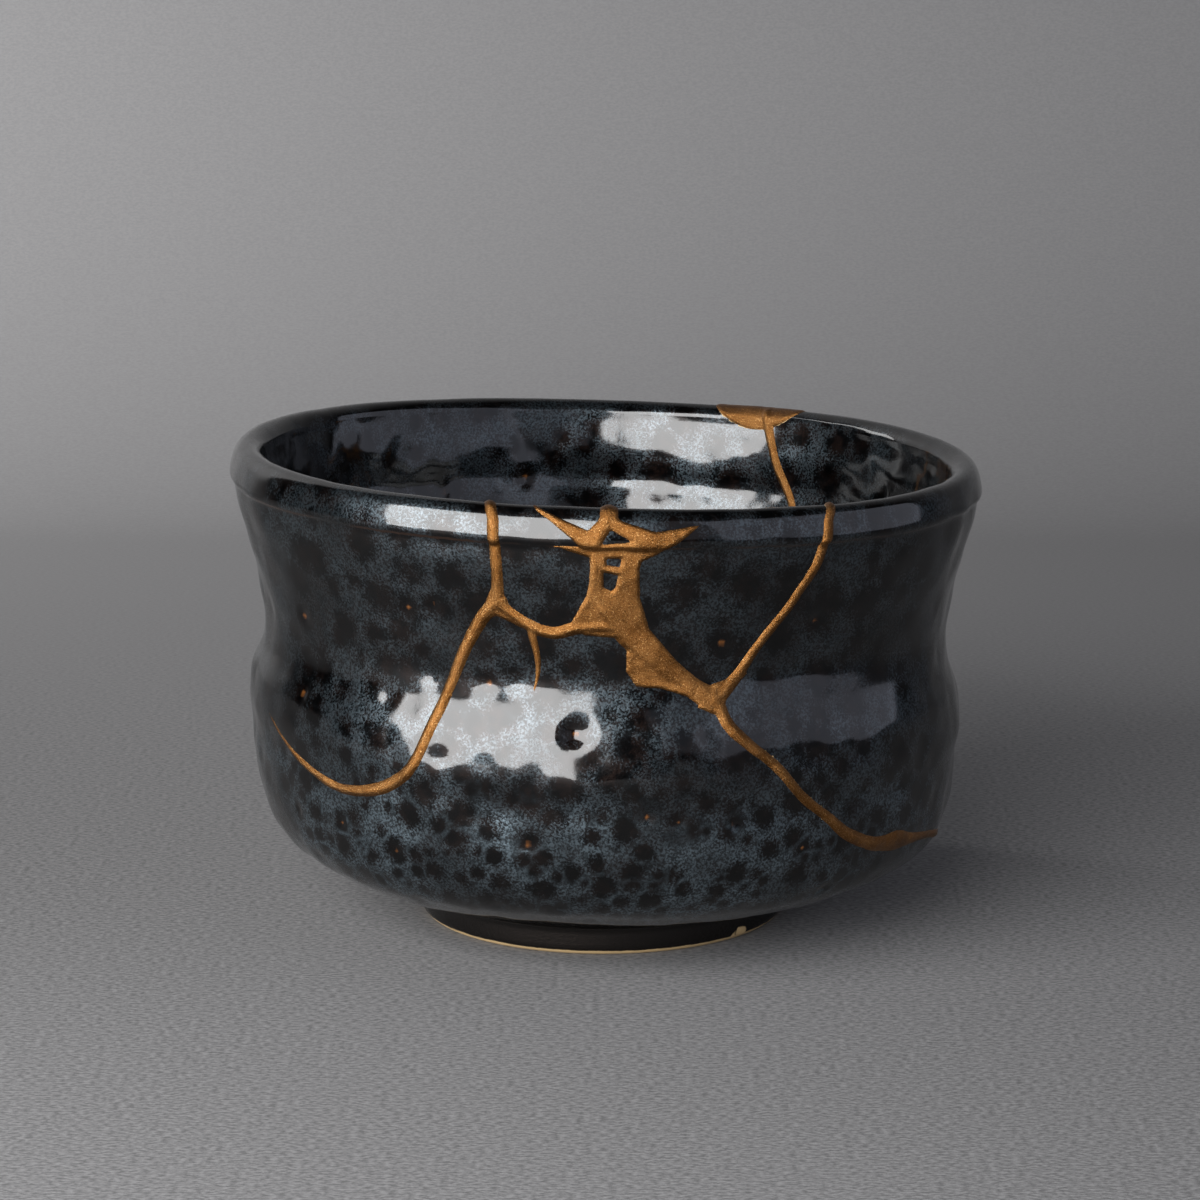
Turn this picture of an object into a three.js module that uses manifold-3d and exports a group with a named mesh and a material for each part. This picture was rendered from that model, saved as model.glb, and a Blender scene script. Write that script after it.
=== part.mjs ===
// A kintsugi tea bowl: a thrown, glazed stoneware bowl that broke into shards and was joined again
// with lacquer and gold powder. Millimetres, +Z up, on its foot ring, with the front towards -Y.
//
// A place on the wall is [angle, height]: degrees round the bowl (0 is the front, 90 the right
// side, 180 the back) and mm up the bowl while it stands upright. The bowl is turned, cut and
// repaired upright, and each finished piece is then leant by the bowl's own slight warp.
import * as THREE from "three";
import { mergeVertices } from "three/addons/utils/BufferGeometryUtils.js";
import Module from "manifold-3d";

// The thrown bowl: [radius, height] along the section, from the middle of the foot outwards and up.
const SEGMENTS = 48;
const OUTER_STEPS = 14;
const LIP_STEPS = 6;
const INNER_STEPS = 12;
const FINEST_DETAIL = 0.08;
const SAME_POINT = 1e-4;
const FOOT_RING = [
  [0, 3.4],
  [24.6, 3.4],
  [26.2, 0],
  [30.1, 0],
  [30.9, 0.8],
  [31, 4.4],
  [32.6, 5.6],
];
const OUTER_WALL = [
  [36.5, 6.8],
  [47, 10],
  [54.2, 14],
  [57.4, 19],
  [58.8, 25],
  [59.1, 31],
  [59.6, 36],
  [59.1, 41],
  [57.5, 46],
  [57.1, 50],
  [57.6, 54],
  [58.5, 59],
  [59.8, 64],
  [61, 68.4],
  [61.8, 72.6],
];
const LIP = [
  [62.2, 73.2],
  [62.6, 74.9],
  [62.2, 76.8],
  [61.1, 78.2],
  [59.5, 78.8],
  [58, 78.3],
  [57.1, 76.9],
  [56.7, 74.6],
];
const INNER_WALL = [
  [56.2, 70],
  [54.6, 64],
  [53.3, 58.5],
  [52.3, 54],
  [51.9, 50],
  [52.6, 45],
  [54, 40],
  [54.3, 35],
  [53.9, 29],
  [53.1, 23.5],
  [50.6, 18.6],
  [45, 14.6],
  [36, 11.4],
  [24, 9.4],
  [11, 8.6],
  [0, 8.4],
];

// The bowl's warp: the lift of the left side (and drop of the right) by height, the rim's wave as
// [waves round the rim, rise at the front], and the foot's place to the left of the middle.
const SIDE_LIFT = [
  [0, 0],
  [5, 0],
  [15, 1.3],
  [25, 2.2],
  [35, 2.9],
  [50, 1.6],
  [80, 1.75],
];
const RIM_WAVES = [
  [1, -0.8],
  [2, -0.28],
  [3, 0.31],
];
const WAVE_FROM = 45;
const RIM_HEIGHT = 80;
const FOOT_SHIFT = 0.57;

// The repair: how far the gold stands proud of the glaze, the gap that stays between gold and
// shards, and how much of a gold line's width is the thread of lacquer in the crack under it.
const GOLD_PROUD = 0.7;
const GAP = 0.3;
const THREAD_SHARE = 0.4;
const OVER_THE_RIM = 84;
const CUT_INNER_RADIUS = 44;
const CUT_OUTER_RADIUS = 76;
const WALL_RADIUS = 59;
const MM_PER_DEGREE = (Math.PI / 180) * WALL_RADIUS;
const STATIONS_PER_LEG = 2;

// The cracks near the front run straight back through the wall, not towards the bowl's middle: how
// far they turn on the inner face for each degree from the front, and where round that fades.
const CRACK_SKEW = 0.13;
const SKEW_FADE = 60;
const WALL_THICKNESS = 5.5;
const LIP_WIDEST = 74.9;

// The cracks that part the shards: [angle, height, width of the gold line].
const FRONT_LEFT_SEAM = [
  [-16.3, OVER_THE_RIM, 1.7],
  [-16, 76.5, 1.7],
  [-15.7, 69, 1.7],
  [-16, 63.2, 2.2],
];
const FRONT_BRIDGE = [
  [-16.2, 63.6, 2],
  [-12.1, 60.5, 1.9],
  [-7.9, 59, 1.9],
  [-3.6, 60.2, 2.2],
  [1.6, 60.6, 2.4],
];
const PATCH_CRACK = [
  [0.2, OVER_THE_RIM, 2.4],
  [0.1, 77.8, 2.2],
  [-1.5, 74.4, 1.6],
  [-1.6, 70.5, 1.5],
  [-1.5, 66, 1.6],
  [0.6, 61.6, 2.4],
  [3.8, 58, 3],
  [8.6, 53.6, 3],
  [17, 48.7, 2.4],
];
const FRONT_RIGHT_SEAM = [
  [16.6, 48.4, 2.4],
  [20.6, 52, 1.9],
  [23.2, 56.2, 1.7],
  [27.2, 61.8, 1.6],
  [29.7, 66.4, 1.6],
  [31.7, 70.9, 1.7],
  [32.9, 76.5, 1.7],
  [33.3, OVER_THE_RIM, 1.7],
];
const LOWER_RIGHT_SEAM = [
  [16.6, 49.4, 2.4],
  [18.8, 44.6, 2],
  [22.1, 41.6, 1.7],
  [26.3, 38.3, 1.6],
  [31.2, 33, 1.6],
  [36.3, 28.9, 1.7],
  [40.2, 25.7, 2.1],
  [45.9, 23, 2.4],
  [49.6, 22.2, 2.9],
  [53.3, 21.9, 3.8],
  [57.2, 21.2, 2.6],
  [62.5, 20.5, 1.6],
  [68, 19.6, 1.5],
  [73, 18.3, 1.5],
  [79, 16.8, 1.6],
  [87, 16, 1.7],
  [97, 17, 1.7],
  [107, 21.5, 1.7],
  [117, 29.5, 1.8],
  [127, 40, 1.8],
  [135.5, 51, 1.7],
  [141, 61, 1.6],
  [146, 69, 1.8],
  [149.6, 78, 2],
];

// The cracks that run out in the wall of the largest shard, tapering to nothing.
const LEFT_RUN_OUT = [
  [-15.6, 63.8, 2.4],
  [-18.5, 60.8, 2.1],
  [-22.3, 54.1, 1.9],
  [-26.3, 44.4, 1.8],
  [-29.6, 35.9, 1.8],
  [-33.4, 32.2, 1.9],
  [-38, 30.1, 1.8],
  [-44, 29.1, 1.5],
  [-50, 29.8, 1.3],
  [-58.8, 32.4, 0.9],
  [-66.3, 36.4, 0.3],
];
const SMALL_RUN_OUT = [
  [-11.4, 60.4, 1.4],
  [-10.3, 53.8, 0.9],
  [-11, 49.3, 0.3],
];

// The gold patch laid over the front of the rim, with its spikes, and the glaze left bare in it.
const PATCH = [
  [-1, OVER_THE_RIM],
  [-0.9, 77.6],
  [-2.6, 75.9],
  [-5.6, 77],
  [-10.4, 79.2],
  [-9.3, 78],
  [-4.6, 74.4],
  [-3.8, 73.3],
  [-7.8, 73.3],
  [-2.4, 71.7],
  [-2.3, 68.3],
  [-2.9, 65.5],
  [-5.2, 60.8],
  [-3.3, 58.9],
  [1.9, 58.6],
  [3, 56.8],
  [3.1, 53],
  [4.6, 50.7],
  [8.4, 50.4],
  [12.3, 49.2],
  [15.4, 46.8],
  [18.6, 49.9],
  [14.6, 51.4],
  [10.7, 54.9],
  [6.3, 60.2],
  [4.8, 65.4],
  [4.6, 70.1],
  [4.9, 71.3],
  [8.5, 73.2],
  [13, 76.8],
  [6.7, 75.8],
  [2.2, 77.2],
  [1.5, 77.6],
  [1.4, OVER_THE_RIM],
];
const BARE_GLAZE = [
  [
    [-0.8, 73.9],
    [0.5, 76],
    [3.5, 74.4],
  ],
  [
    [-0.1, 71.6],
    [2, 71.7],
    [1.9, 70.3],
    [0, 70.6],
  ],
  [
    [-0.5, 69.5],
    [1.6, 69],
    [1.3, 67],
    [0.7, 66.3],
    [-0.4, 66.9],
  ],
];
const PATCH_DEPTH = 2.4;

// Where seams meet, the gold is drawn out into a web between them.
const SEAM_WEBS = [
  [
    [-17, 65.4],
    [-19.4, 59.6],
    [-16.4, 61.2],
    [-12.6, 59.6],
    [-15, 64.6],
  ],
  [
    [14, 47.4],
    [18, 45.6],
    [18.6, 48.4],
    [22.4, 52.4],
    [16.4, 51],
  ],
];

// The half-moon chip in the back of the rim, filled with gold right through the wall.
const CHIP_ANGLE = 151.5;
const CHIP_HALF_WIDTH = 9.8;
const CHIP_BOTTOM = 75;
const CHIP_STEPS = 8;

// Colours, from a black glaze with a blue bloom to worn gold.
const GLAZE = { color: 0x151a20, roughness: 0.18, metalness: 0 };
const GOLD = { color: 0xb07a33, roughness: 0.38, metalness: 1 };

const library = await Module();
library.setup();

// A geometry as a manifold-3d solid.
function solidOf(geometry) {
  geometry.deleteAttribute("normal");
  geometry.deleteAttribute("uv");
  const merged = mergeVertices(geometry, SAME_POINT);
  return new library.Manifold(
    new library.Mesh({
      numProp: 3,
      vertProperties: merged.attributes.position.array,
      triVerts: new Uint32Array(merged.index.array),
    }),
  );
}

// A solid from corner points and the triangles between them.
function solidFrom(corners, triangles) {
  const geometry = new THREE.BufferGeometry().setFromPoints(corners);
  geometry.setIndex(triangles);
  return solidOf(geometry);
}

const union = (solids) => solids.reduce((whole, part) => whole.add(part));
const lerp = THREE.MathUtils.lerp;

// The point at a place on the wall, given in mm round the bowl, at the given radius.
function wallPoint(around, height, radius) {
  const angle = THREE.MathUtils.degToRad(around / MM_PER_DEGREE);
  return new THREE.Vector3(radius * Math.sin(angle), -radius * Math.cos(angle), height);
}

// A smooth run of steps through the points of an outline.
function smooth(outline, steps) {
  const curve = new THREE.SplineCurve(outline.map((point) => new THREE.Vector2(...point)));
  return curve.getPoints(steps).map((point) => [point.x, point.y]);
}

const outerProfile = smooth([...FOOT_RING.slice(-1), ...OUTER_WALL], OUTER_STEPS);
const lipProfile = smooth(LIP, LIP_STEPS);
const innerProfile = smooth([...LIP.slice(-1), ...INNER_WALL], INNER_STEPS);
const profile = [
  ...FOOT_RING.slice(0, -1),
  ...outerProfile,
  ...lipProfile,
  ...innerProfile.slice(1),
];

// The bowl's section moved outwards from the clay by a distance, square to the surface.
function grownProfile(by) {
  return profile.map(([radius, height], i) => {
    const before = profile[Math.max(i - 1, 0)];
    const after = profile[Math.min(i + 1, profile.length - 1)];
    const along = new THREE.Vector2(after[0] - before[0], after[1] - before[1]).normalize();
    const atAxis = radius === 0;
    return [atAxis ? 0 : radius + along.y * by, height - along.x * by];
  });
}

// The whole bowl turned on the wheel, grown outwards by a distance.
function turnedBowl(by) {
  const points = grownProfile(by).map(([radius, height]) => new THREE.Vector2(radius, height));
  const geometry = new THREE.LatheGeometry(points, SEGMENTS);
  geometry.rotateX(Math.PI / 2);
  return solidOf(geometry);
}

// The outer radius of the wall at a height.
function outerRadius(height) {
  const wall = [...outerProfile, ...lipProfile.slice(0, 4)];
  const above = wall.findIndex((point) => point[1] >= height);
  if (above < 1) return wall[wall.length - 1][0];
  const [low, high] = [wall[above - 1], wall[above]];
  return lerp(low[0], high[0], (height - low[1]) / (high[1] - low[1]));
}

// How far round, in mm, a crack lies at a radius, from where it is on the outer face.
function turnedIn(around, height, radius) {
  const angle = around / MM_PER_DEGREE;
  const skew = CRACK_SKEW * around * Math.exp(-((angle / SKEW_FADE) ** 2));
  const depth = outerRadius(Math.min(height, LIP_WIDEST)) - radius;
  return around + (skew * Math.max(depth, 0)) / WALL_THICKNESS;
}

// A cut right through the wall along a crack. The width of each station comes from the gold
// line's width there.
function crackCut(crack, widthFrom) {
  const points = crack.map(([angle, height, width]) => {
    return new THREE.Vector3(angle * MM_PER_DEGREE, height, widthFrom(width));
  });
  const curve = new THREE.CatmullRomCurve3(points, false, "catmullrom");
  const steps = (crack.length - 1) * STATIONS_PER_LEG;
  const corners = [];
  for (let step = 0; step <= steps; step += 1) {
    const at = curve.getPoint(step / steps);
    const along = curve.getTangent(step / steps).setZ(0).normalize();
    const half = at.z / 2;
    for (const side of [1, -1]) {
      const around = at.x - along.y * half * side;
      const height = at.y + along.x * half * side;
      const outerFace = outerRadius(Math.min(height, LIP_WIDEST));
      const radii = [CUT_INNER_RADIUS, outerFace, CUT_OUTER_RADIUS];
      for (const radius of side > 0 ? radii : radii.reverse()) {
        corners.push(wallPoint(turnedIn(around, height, radius), height, radius));
      }
    }
  }
  const triangles = [0, 4, 1, 0, 5, 4, 1, 3, 2, 1, 4, 3];
  for (let step = 0; step < steps; step += 1) {
    for (let side = 0; side < 6; side += 1) {
      const a = step * 6 + side;
      const b = step * 6 + ((side + 1) % 6);
      triangles.push(a, b, b + 6, a, b + 6, a + 6);
    }
  }
  const end = [0, 1, 4, 0, 4, 5, 1, 2, 3, 1, 3, 4];
  triangles.push(...end.map((corner) => steps * 6 + corner));
  return solidFrom(corners, triangles);
}

// A slab bent round the wall, with the outline and the holes given as places on it, from the
// radius that innerRadius gives for a height out past the glaze.
function wallSlab(outline, holes, innerRadius) {
  const flat = (places) => places.map(([angle, height]) => {
    return new THREE.Vector2(angle * MM_PER_DEGREE, height);
  });
  const rim = flat(outline);
  if (THREE.ShapeUtils.isClockWise(rim)) rim.reverse();
  const openings = holes.map(flat);
  openings.filter((hole) => !THREE.ShapeUtils.isClockWise(hole)).forEach((hole) => hole.reverse());
  const faces = THREE.ShapeUtils.triangulateShape(rim, openings);
  const loops = [rim, ...openings];
  const places = loops.flat();
  const outer = places.map(({ x, y }) => wallPoint(x, y, CUT_OUTER_RADIUS));
  const inner = places.map(({ x, y }) => wallPoint(x, y, innerRadius(y)));
  const triangles = [];
  for (const [a, b, c] of faces) {
    triangles.push(a, b, c, a + places.length, c + places.length, b + places.length);
  }
  let first = 0;
  for (const loop of loops) {
    for (let i = 0; i < loop.length; i += 1) {
      const a = first + i;
      const b = first + ((i + 1) % loop.length);
      triangles.push(a, a + places.length, b + places.length, a, b + places.length, b);
    }
    first += loop.length;
  }
  return solidFrom([...outer, ...inner], triangles);
}

// The half-moon of the rim chip, grown by a distance all round.
function chipSlab(by) {
  const outline = [];
  for (let step = 0; step <= CHIP_STEPS; step += 1) {
    const across = (2 * step) / CHIP_STEPS - 1;
    const angle = CHIP_ANGLE + across * (CHIP_HALF_WIDTH + by / MM_PER_DEGREE);
    outline.push([angle, lerp(CHIP_BOTTOM - by, RIM_HEIGHT, across * across)]);
  }
  outline.push([CHIP_ANGLE + CHIP_HALF_WIDTH, OVER_THE_RIM]);
  outline.push([CHIP_ANGLE - CHIP_HALF_WIDTH, OVER_THE_RIM]);
  return wallSlab(outline, [], () => CUT_INNER_RADIUS);
}

// The height lifted on the left side at a height up the wall.
function sideLift(height) {
  const above = SIDE_LIFT.findIndex((row) => row[0] >= height);
  if (above === -1) return SIDE_LIFT[SIDE_LIFT.length - 1][1];
  const [low, high] = [SIDE_LIFT[Math.max(above - 1, 0)], SIDE_LIFT[above]];
  return lerp(low[1], high[1], (height - low[0]) / Math.max(high[0] - low[0], 1));
}

// The rise of the rim's wave at an angle in radians round the bowl.
function rimWave(angle) {
  return RIM_WAVES.reduce((rise, [waves, height]) => rise + height * Math.cos(waves * angle), 0);
}

// A piece as a named mesh, leant by the bowl's warp.
function pieceOf(name, solid, finish) {
  const mesh = solid.asOriginal().simplify(FINEST_DETAIL).getMesh();
  const geometry = new THREE.BufferGeometry();
  geometry.setAttribute("position", new THREE.BufferAttribute(mesh.vertProperties, 3));
  geometry.setIndex(new THREE.BufferAttribute(mesh.triVerts, 1));
  const position = geometry.attributes.position;
  for (let i = 0; i < position.count; i += 1) {
    const [x, y, z] = [position.getX(i), position.getY(i), position.getZ(i)];
    const angle = Math.atan2(x, -y);
    const wave = rimWave(angle) * THREE.MathUtils.smoothstep(z, WAVE_FROM, RIM_HEIGHT);
    const lift = wave - sideLift(z) * Math.sin(angle);
    position.setXYZ(i, x - FOOT_SHIFT * (1 - z / RIM_HEIGHT), y, z + lift);
  }
  geometry.computeVertexNormals();
  const piece = new THREE.Mesh(geometry, new THREE.MeshStandardMaterial(finish));
  piece.name = name;
  return piece;
}

const cracks = [
  FRONT_LEFT_SEAM,
  FRONT_BRIDGE,
  PATCH_CRACK,
  FRONT_RIGHT_SEAM,
  LOWER_RIGHT_SEAM,
  LEFT_RUN_OUT,
  SMALL_RUN_OUT,
];
const lineWidth = (width) => width;
const threadWidth = (width) => width * THREAD_SHARE;
const slotWidth = (width) => threadWidth(width) + 2 * GAP;
const cutsOf = (widthFrom) => union(cracks.map((crack) => crackCut(crack, widthFrom)));
const underPatch = (height) => outerRadius(height) - PATCH_DEPTH;

// The gold covers the lines, the patch, the webs and the chip. What it leaves free is the room of
// the shards, with a clearance round them.
const chip = chipSlab(0);
const patch = wallSlab(PATCH, BARE_GLAZE, underPatch);
const webs = SEAM_WEBS.map((web) => wallSlab(web, [], underPatch));
const covered = union([cutsOf(lineWidth), patch, ...webs, chip]);
const roomOfShards = turnedBowl(GAP).subtract(cutsOf(threadWidth)).subtract(chip);
const gold = turnedBowl(GOLD_PROUD).intersect(covered).subtract(roomOfShards);

// The cracks part the clay into four shards, sorted here by their size.
const shards = turnedBowl(0).subtract(cutsOf(slotWidth)).subtract(chipSlab(GAP)).decompose();
shards.sort((a, b) => b.volume() - a.volume());
const [body, rightWall, frontRight, frontLeft] = shards;

const bowl = new THREE.Group();
bowl.add(
  pieceOf("bowl_body", body, GLAZE),
  pieceOf("right_wall_shard", rightWall, GLAZE),
  pieceOf("front_right_rim_shard", frontRight, GLAZE),
  pieceOf("front_left_rim_shard", frontLeft, GLAZE),
  pieceOf("gold_lacquer_seams", gold, GOLD),
);

export default bowl;
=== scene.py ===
import bpy
import numpy as np
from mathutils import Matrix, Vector


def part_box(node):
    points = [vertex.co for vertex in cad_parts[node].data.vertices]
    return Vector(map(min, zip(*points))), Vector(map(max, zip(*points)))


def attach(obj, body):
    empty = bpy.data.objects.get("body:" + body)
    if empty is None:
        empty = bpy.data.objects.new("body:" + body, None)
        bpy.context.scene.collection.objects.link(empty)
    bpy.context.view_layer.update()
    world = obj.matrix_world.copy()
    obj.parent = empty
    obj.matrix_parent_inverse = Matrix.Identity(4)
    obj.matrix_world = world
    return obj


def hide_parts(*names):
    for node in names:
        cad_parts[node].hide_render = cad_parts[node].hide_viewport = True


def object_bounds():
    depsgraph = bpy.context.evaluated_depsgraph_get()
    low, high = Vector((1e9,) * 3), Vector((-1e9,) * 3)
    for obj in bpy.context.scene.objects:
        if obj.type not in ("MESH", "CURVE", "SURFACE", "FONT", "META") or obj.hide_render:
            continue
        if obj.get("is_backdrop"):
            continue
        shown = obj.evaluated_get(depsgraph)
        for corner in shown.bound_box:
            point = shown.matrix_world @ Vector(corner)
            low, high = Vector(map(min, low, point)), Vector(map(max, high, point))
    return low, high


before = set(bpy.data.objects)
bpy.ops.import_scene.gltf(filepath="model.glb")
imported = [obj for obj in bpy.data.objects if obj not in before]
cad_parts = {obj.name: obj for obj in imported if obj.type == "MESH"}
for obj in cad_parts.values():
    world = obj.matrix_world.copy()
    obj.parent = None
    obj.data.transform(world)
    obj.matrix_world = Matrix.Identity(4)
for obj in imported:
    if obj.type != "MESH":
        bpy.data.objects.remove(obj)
cad_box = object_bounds()
scene = bpy.context.scene

# The camera, square on to the front of the bowl and looking a little down on it, as a still
# life of tableware is taken: a long lens at about half a metre.
CAMERA_PLACE, LOOKS_DOWN = (-0.00108, -0.550, 0.1597), 11.0
LENS_LENGTH, SENSOR_WIDTH = 99.9, 36.0
camera = bpy.data.objects.new("camera", bpy.data.cameras.new("camera"))
camera.data.lens, camera.data.sensor_width = LENS_LENGTH, SENSOR_WIDTH
camera.location = CAMERA_PLACE
camera.rotation_euler = (np.radians(90 - LOOKS_DOWN), 0, 0)
scene.collection.objects.link(camera)
scene.camera = camera
scene.view_settings.view_transform = "Standard"

# The sheet of grey paper that the bowl stands on: matt, laid flat and swept up behind the bowl,
# with the faint tooth of uncoated paper, worn smooth where it hangs.
PAPER_HALF_WIDTH = 2.2
PAPER_FRONT, PAPER_BEND, PAPER_BEND_RADIUS, PAPER_TOP = -1.6, 0.36, 0.2, 1.2
PAPER_ROWS, PAPER_COLUMNS = 320, 45
TOOTH_DARK, TOOTH_LIGHT = (0.110, 0.1085, 0.1095), (0.220, 0.217, 0.219)
PAPER_GREY = (0.165, 0.163, 0.164)
TOOTH_TO_THE_METRE = (900.0, 1800.0, 1800.0)


def put_in(name, points, faces, smooth=True):
    """A mesh object of the given points (metres) and faces (rows of corner numbers)."""
    mesh = bpy.data.meshes.new(name)
    faces = np.asarray(faces, dtype=np.int32)
    mesh.vertices.add(len(points))
    mesh.vertices.foreach_set("co", np.asarray(points, dtype=np.float32).ravel())
    mesh.loops.add(faces.size)
    mesh.loops.foreach_set("vertex_index", faces.ravel())
    mesh.polygons.add(len(faces))
    mesh.polygons.foreach_set("loop_start", np.arange(len(faces), dtype=np.int32) * faces.shape[1])
    mesh.polygons.foreach_set("use_smooth", np.full(len(faces), smooth))
    mesh.update(calc_edges=True)
    piece = bpy.data.objects.new(name, mesh)
    scene.collection.objects.link(piece)
    return piece


def sheet_faces(rows, columns, closed=False):
    """The squares of a grid of rows by columns of points: point, next in its row, next in the row
    above, point above; closed joins the last column to the first."""
    row, column = np.meshgrid(
        np.arange(rows - 1), np.arange(columns if closed else columns - 1), indexing="ij"
    )
    here, beside = row * columns + column, row * columns + (column + 1) % columns
    return np.stack([here, beside, beside + columns, here + columns], axis=-1).reshape(-1, 4)


def swept_paper(across, along):
    """Flat from the front to the bend, then a quarter circle, then straight up: the paper's place
    for its two parameters, metres across and metres along it."""
    quarter = PAPER_BEND_RADIUS * np.pi / 2
    turn = np.clip((along - PAPER_BEND) / PAPER_BEND_RADIUS, 0, np.pi / 2)
    y = np.minimum(along, PAPER_BEND) + PAPER_BEND_RADIUS * np.sin(turn)
    z = PAPER_BEND_RADIUS * (1 - np.cos(turn)) + np.maximum(along - PAPER_BEND - quarter, 0)
    return np.stack([across, y, z], axis=-1)


paper_end = PAPER_BEND + PAPER_BEND_RADIUS * np.pi / 2 + PAPER_TOP
across, along = np.meshgrid(
    np.linspace(-PAPER_HALF_WIDTH, PAPER_HALF_WIDTH, PAPER_COLUMNS),
    np.linspace(PAPER_FRONT, paper_end, PAPER_ROWS),
)
paper = put_in(
    "paper_sweep",
    swept_paper(across, along).reshape(-1, 3),
    sheet_faces(PAPER_ROWS, PAPER_COLUMNS),
)
paper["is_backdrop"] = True


def material(name):
    """A new material with nodes, and its one shader."""
    made = bpy.data.materials.new(name)
    made.use_nodes = True
    return made, made.node_tree.nodes, made.node_tree.links, made.node_tree.nodes["Principled BSDF"]


def node(nodes, kind, inputs=(), **settings):
    """A node of a kind, with its settings, and the fixed values of its inputs by name or number."""
    made = nodes.new(kind)
    for key, value in settings.items():
        setattr(made, key, value)
    for key, value in dict(inputs).items():
        made.inputs[key].default_value = value
    return made


def maths(operation, first, second=None, third=None, clamp=False):
    """One step of arithmetic on values: each is a number or another node's output."""
    made = node(nodes, "ShaderNodeMath", operation=operation, use_clamp=clamp)
    for socket, value in zip(made.inputs, (first, second, third)):
        if value is None:
            continue
        if np.isscalar(value):
            socket.default_value = value
        else:
            links.new(value, socket)
    return made.outputs[0]


def between(value, low, high):
    """0 below low, 1 above high, and smooth between them."""
    limits = {"From Min": low, "From Max": high}
    made = node(nodes, "ShaderNodeMapRange", limits, interpolation_type="SMOOTHSTEP")
    links.new(value, made.inputs["Value"])
    return made.outputs["Result"]


def mixed(share, below, above):
    """Two colours mixed by a share; each is a colour or another node's output."""
    made = node(nodes, "ShaderNodeMix", data_type="RGBA")
    links.new(share, made.inputs["Factor"])
    for socket, value in ((made.inputs[6], below), (made.inputs[7], above)):
        if isinstance(value, tuple):
            socket.default_value = (*value, 1)
        else:
            links.new(value, socket)
    return made.outputs[2]


grey_paper, nodes, links, shader = material("grey_paper")
shader.inputs["Roughness"].default_value = 0.95
shader.inputs["Specular IOR Level"].default_value = 0.12
place = node(nodes, "ShaderNodeTexCoord").outputs["Object"]
fibres = node(nodes, "ShaderNodeVectorMath", {1: TOOTH_TO_THE_METRE}, operation="MULTIPLY")
links.new(place, fibres.inputs[0])
tooth = node(nodes, "ShaderNodeTexNoise", {"Scale": 1.0, "Detail": 3.0, "Roughness": 0.6})
links.new(fibres.outputs["Vector"], tooth.inputs["Vector"])
depth = node(nodes, "ShaderNodeSeparateXYZ")
links.new(place, depth.inputs[0])
smooth_sheet = maths("MULTIPLY", between(depth.outputs["Y"], 0.0, 0.3), 0.8)
tooth_tone = mixed(between(tooth.outputs["Fac"], 0.30, 0.70), TOOTH_DARK, TOOTH_LIGHT)
links.new(mixed(smooth_sheet, tooth_tone, PAPER_GREY), shader.inputs["Base Color"])
tooth_height = maths("MULTIPLY", tooth.outputs["Fac"], maths("SUBTRACT", 1.0, smooth_sheet))
tooth_bump = node(nodes, "ShaderNodeBump", {"Strength": 0.3, "Distance": 0.0003})
links.new(tooth_height, tooth_bump.inputs["Height"])
links.new(tooth_bump.outputs["Normal"], shader.inputs["Normal"])
paper.data.materials.append(grey_paper)

# The studio light: a white softbox near the bowl to the left and in front, a dim panel to the right
# that fills the shadow side, a wash on the paper behind, and a dark room round them.
BOWL_MIDDLE = Vector((0, 0, 0.045))
COOL_WHITE, COOLER_WHITE = (0.80, 0.84, 1.0), (0.80, 0.85, 1.0)
WASH_PLACE, WASH_AIM = Vector((-0.58, 0.35, 0.54)), Vector((0.52, 2.15, 0.37))
DARK_ROOM = (0.02, 0.021, 0.023, 1)


def softbox(name, azimuth, elevation, distance, width, height, radiance, colour=(1, 1, 1)):
    """A rectangular light that faces the bowl from a direction: azimuth in degrees round from the
    front, positive to the right; its power is radiance times pi times its area."""
    light = bpy.data.lights.new(name, "AREA")
    light.shape, light.size, light.size_y = "RECTANGLE", width, height
    light.energy, light.color = radiance * np.pi * width * height, colour
    a, e = np.radians(azimuth), np.radians(elevation)
    direction = Vector((np.sin(a) * np.cos(e), -np.cos(a) * np.cos(e), np.sin(e)))
    made = bpy.data.objects.new(name, light)
    made.location = BOWL_MIDDLE + direction * distance
    made.rotation_euler = direction.to_track_quat("Z", "Y").to_euler()
    scene.collection.objects.link(made)
    return made


softbox("left_softbox", -35, 17.5, distance=0.6, width=0.71, height=0.42, radiance=12.4)
softbox("right_panel", 70, 19, 1.0, width=1.5, height=0.75, radiance=0.85, colour=COOL_WHITE)
softbox("right_card", 24, 19, 1.15, width=0.55, height=0.75, radiance=0.35, colour=COOLER_WHITE)
wash = softbox("backdrop_wash", 0, 0, 1, width=0.65, height=0.65, radiance=6.4)
wash.location = WASH_PLACE
wash.rotation_euler = (wash.location - WASH_AIM).to_track_quat("Z", "Y").to_euler()
world = bpy.data.worlds.new("dark_room")
world.use_nodes = True
world.node_tree.nodes["Background"].inputs["Color"].default_value = DARK_ROOM
scene.world = world

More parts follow.
